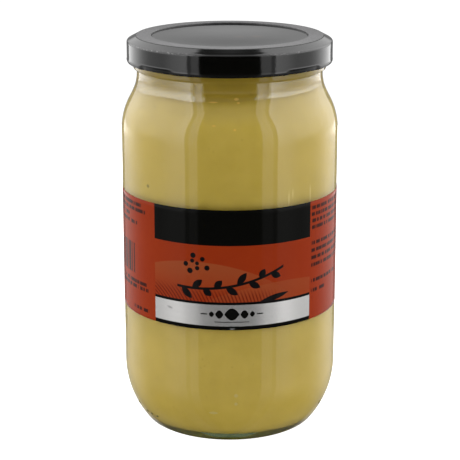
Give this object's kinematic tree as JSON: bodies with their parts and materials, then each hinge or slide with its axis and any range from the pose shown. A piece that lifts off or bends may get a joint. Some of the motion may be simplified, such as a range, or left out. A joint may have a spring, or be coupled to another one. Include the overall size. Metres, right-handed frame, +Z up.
{
  "type": "mustard jar",
  "caption": "Round glass jar filled with yellow mustard, shut by a black twist-off metal lid, with a plain orange, black and silver wrap label.",
  "frame": {"origin": "centre of the flat ring that the jar stands on", "axes": "+Z up along the jar's axis, the label's front faces -Y, +X is to the right seen from the front"},
  "size_m": [0.0902, 0.0901, 0.1652],
  "materials": {
    "glass": "clear, faintly green jar glass",
    "mustard": "smooth moist yellow mustard paste",
    "lid": "gloss black lacquer on tinplate",
    "label": "printed coated paper, orange-red with a black band and a silver band"
  },
  "bodies": {
    "root": {"glass_jar": "glass", "mustard": "mustard", "lid": "lid", "label": "label"}
  },
  "joints": []
}
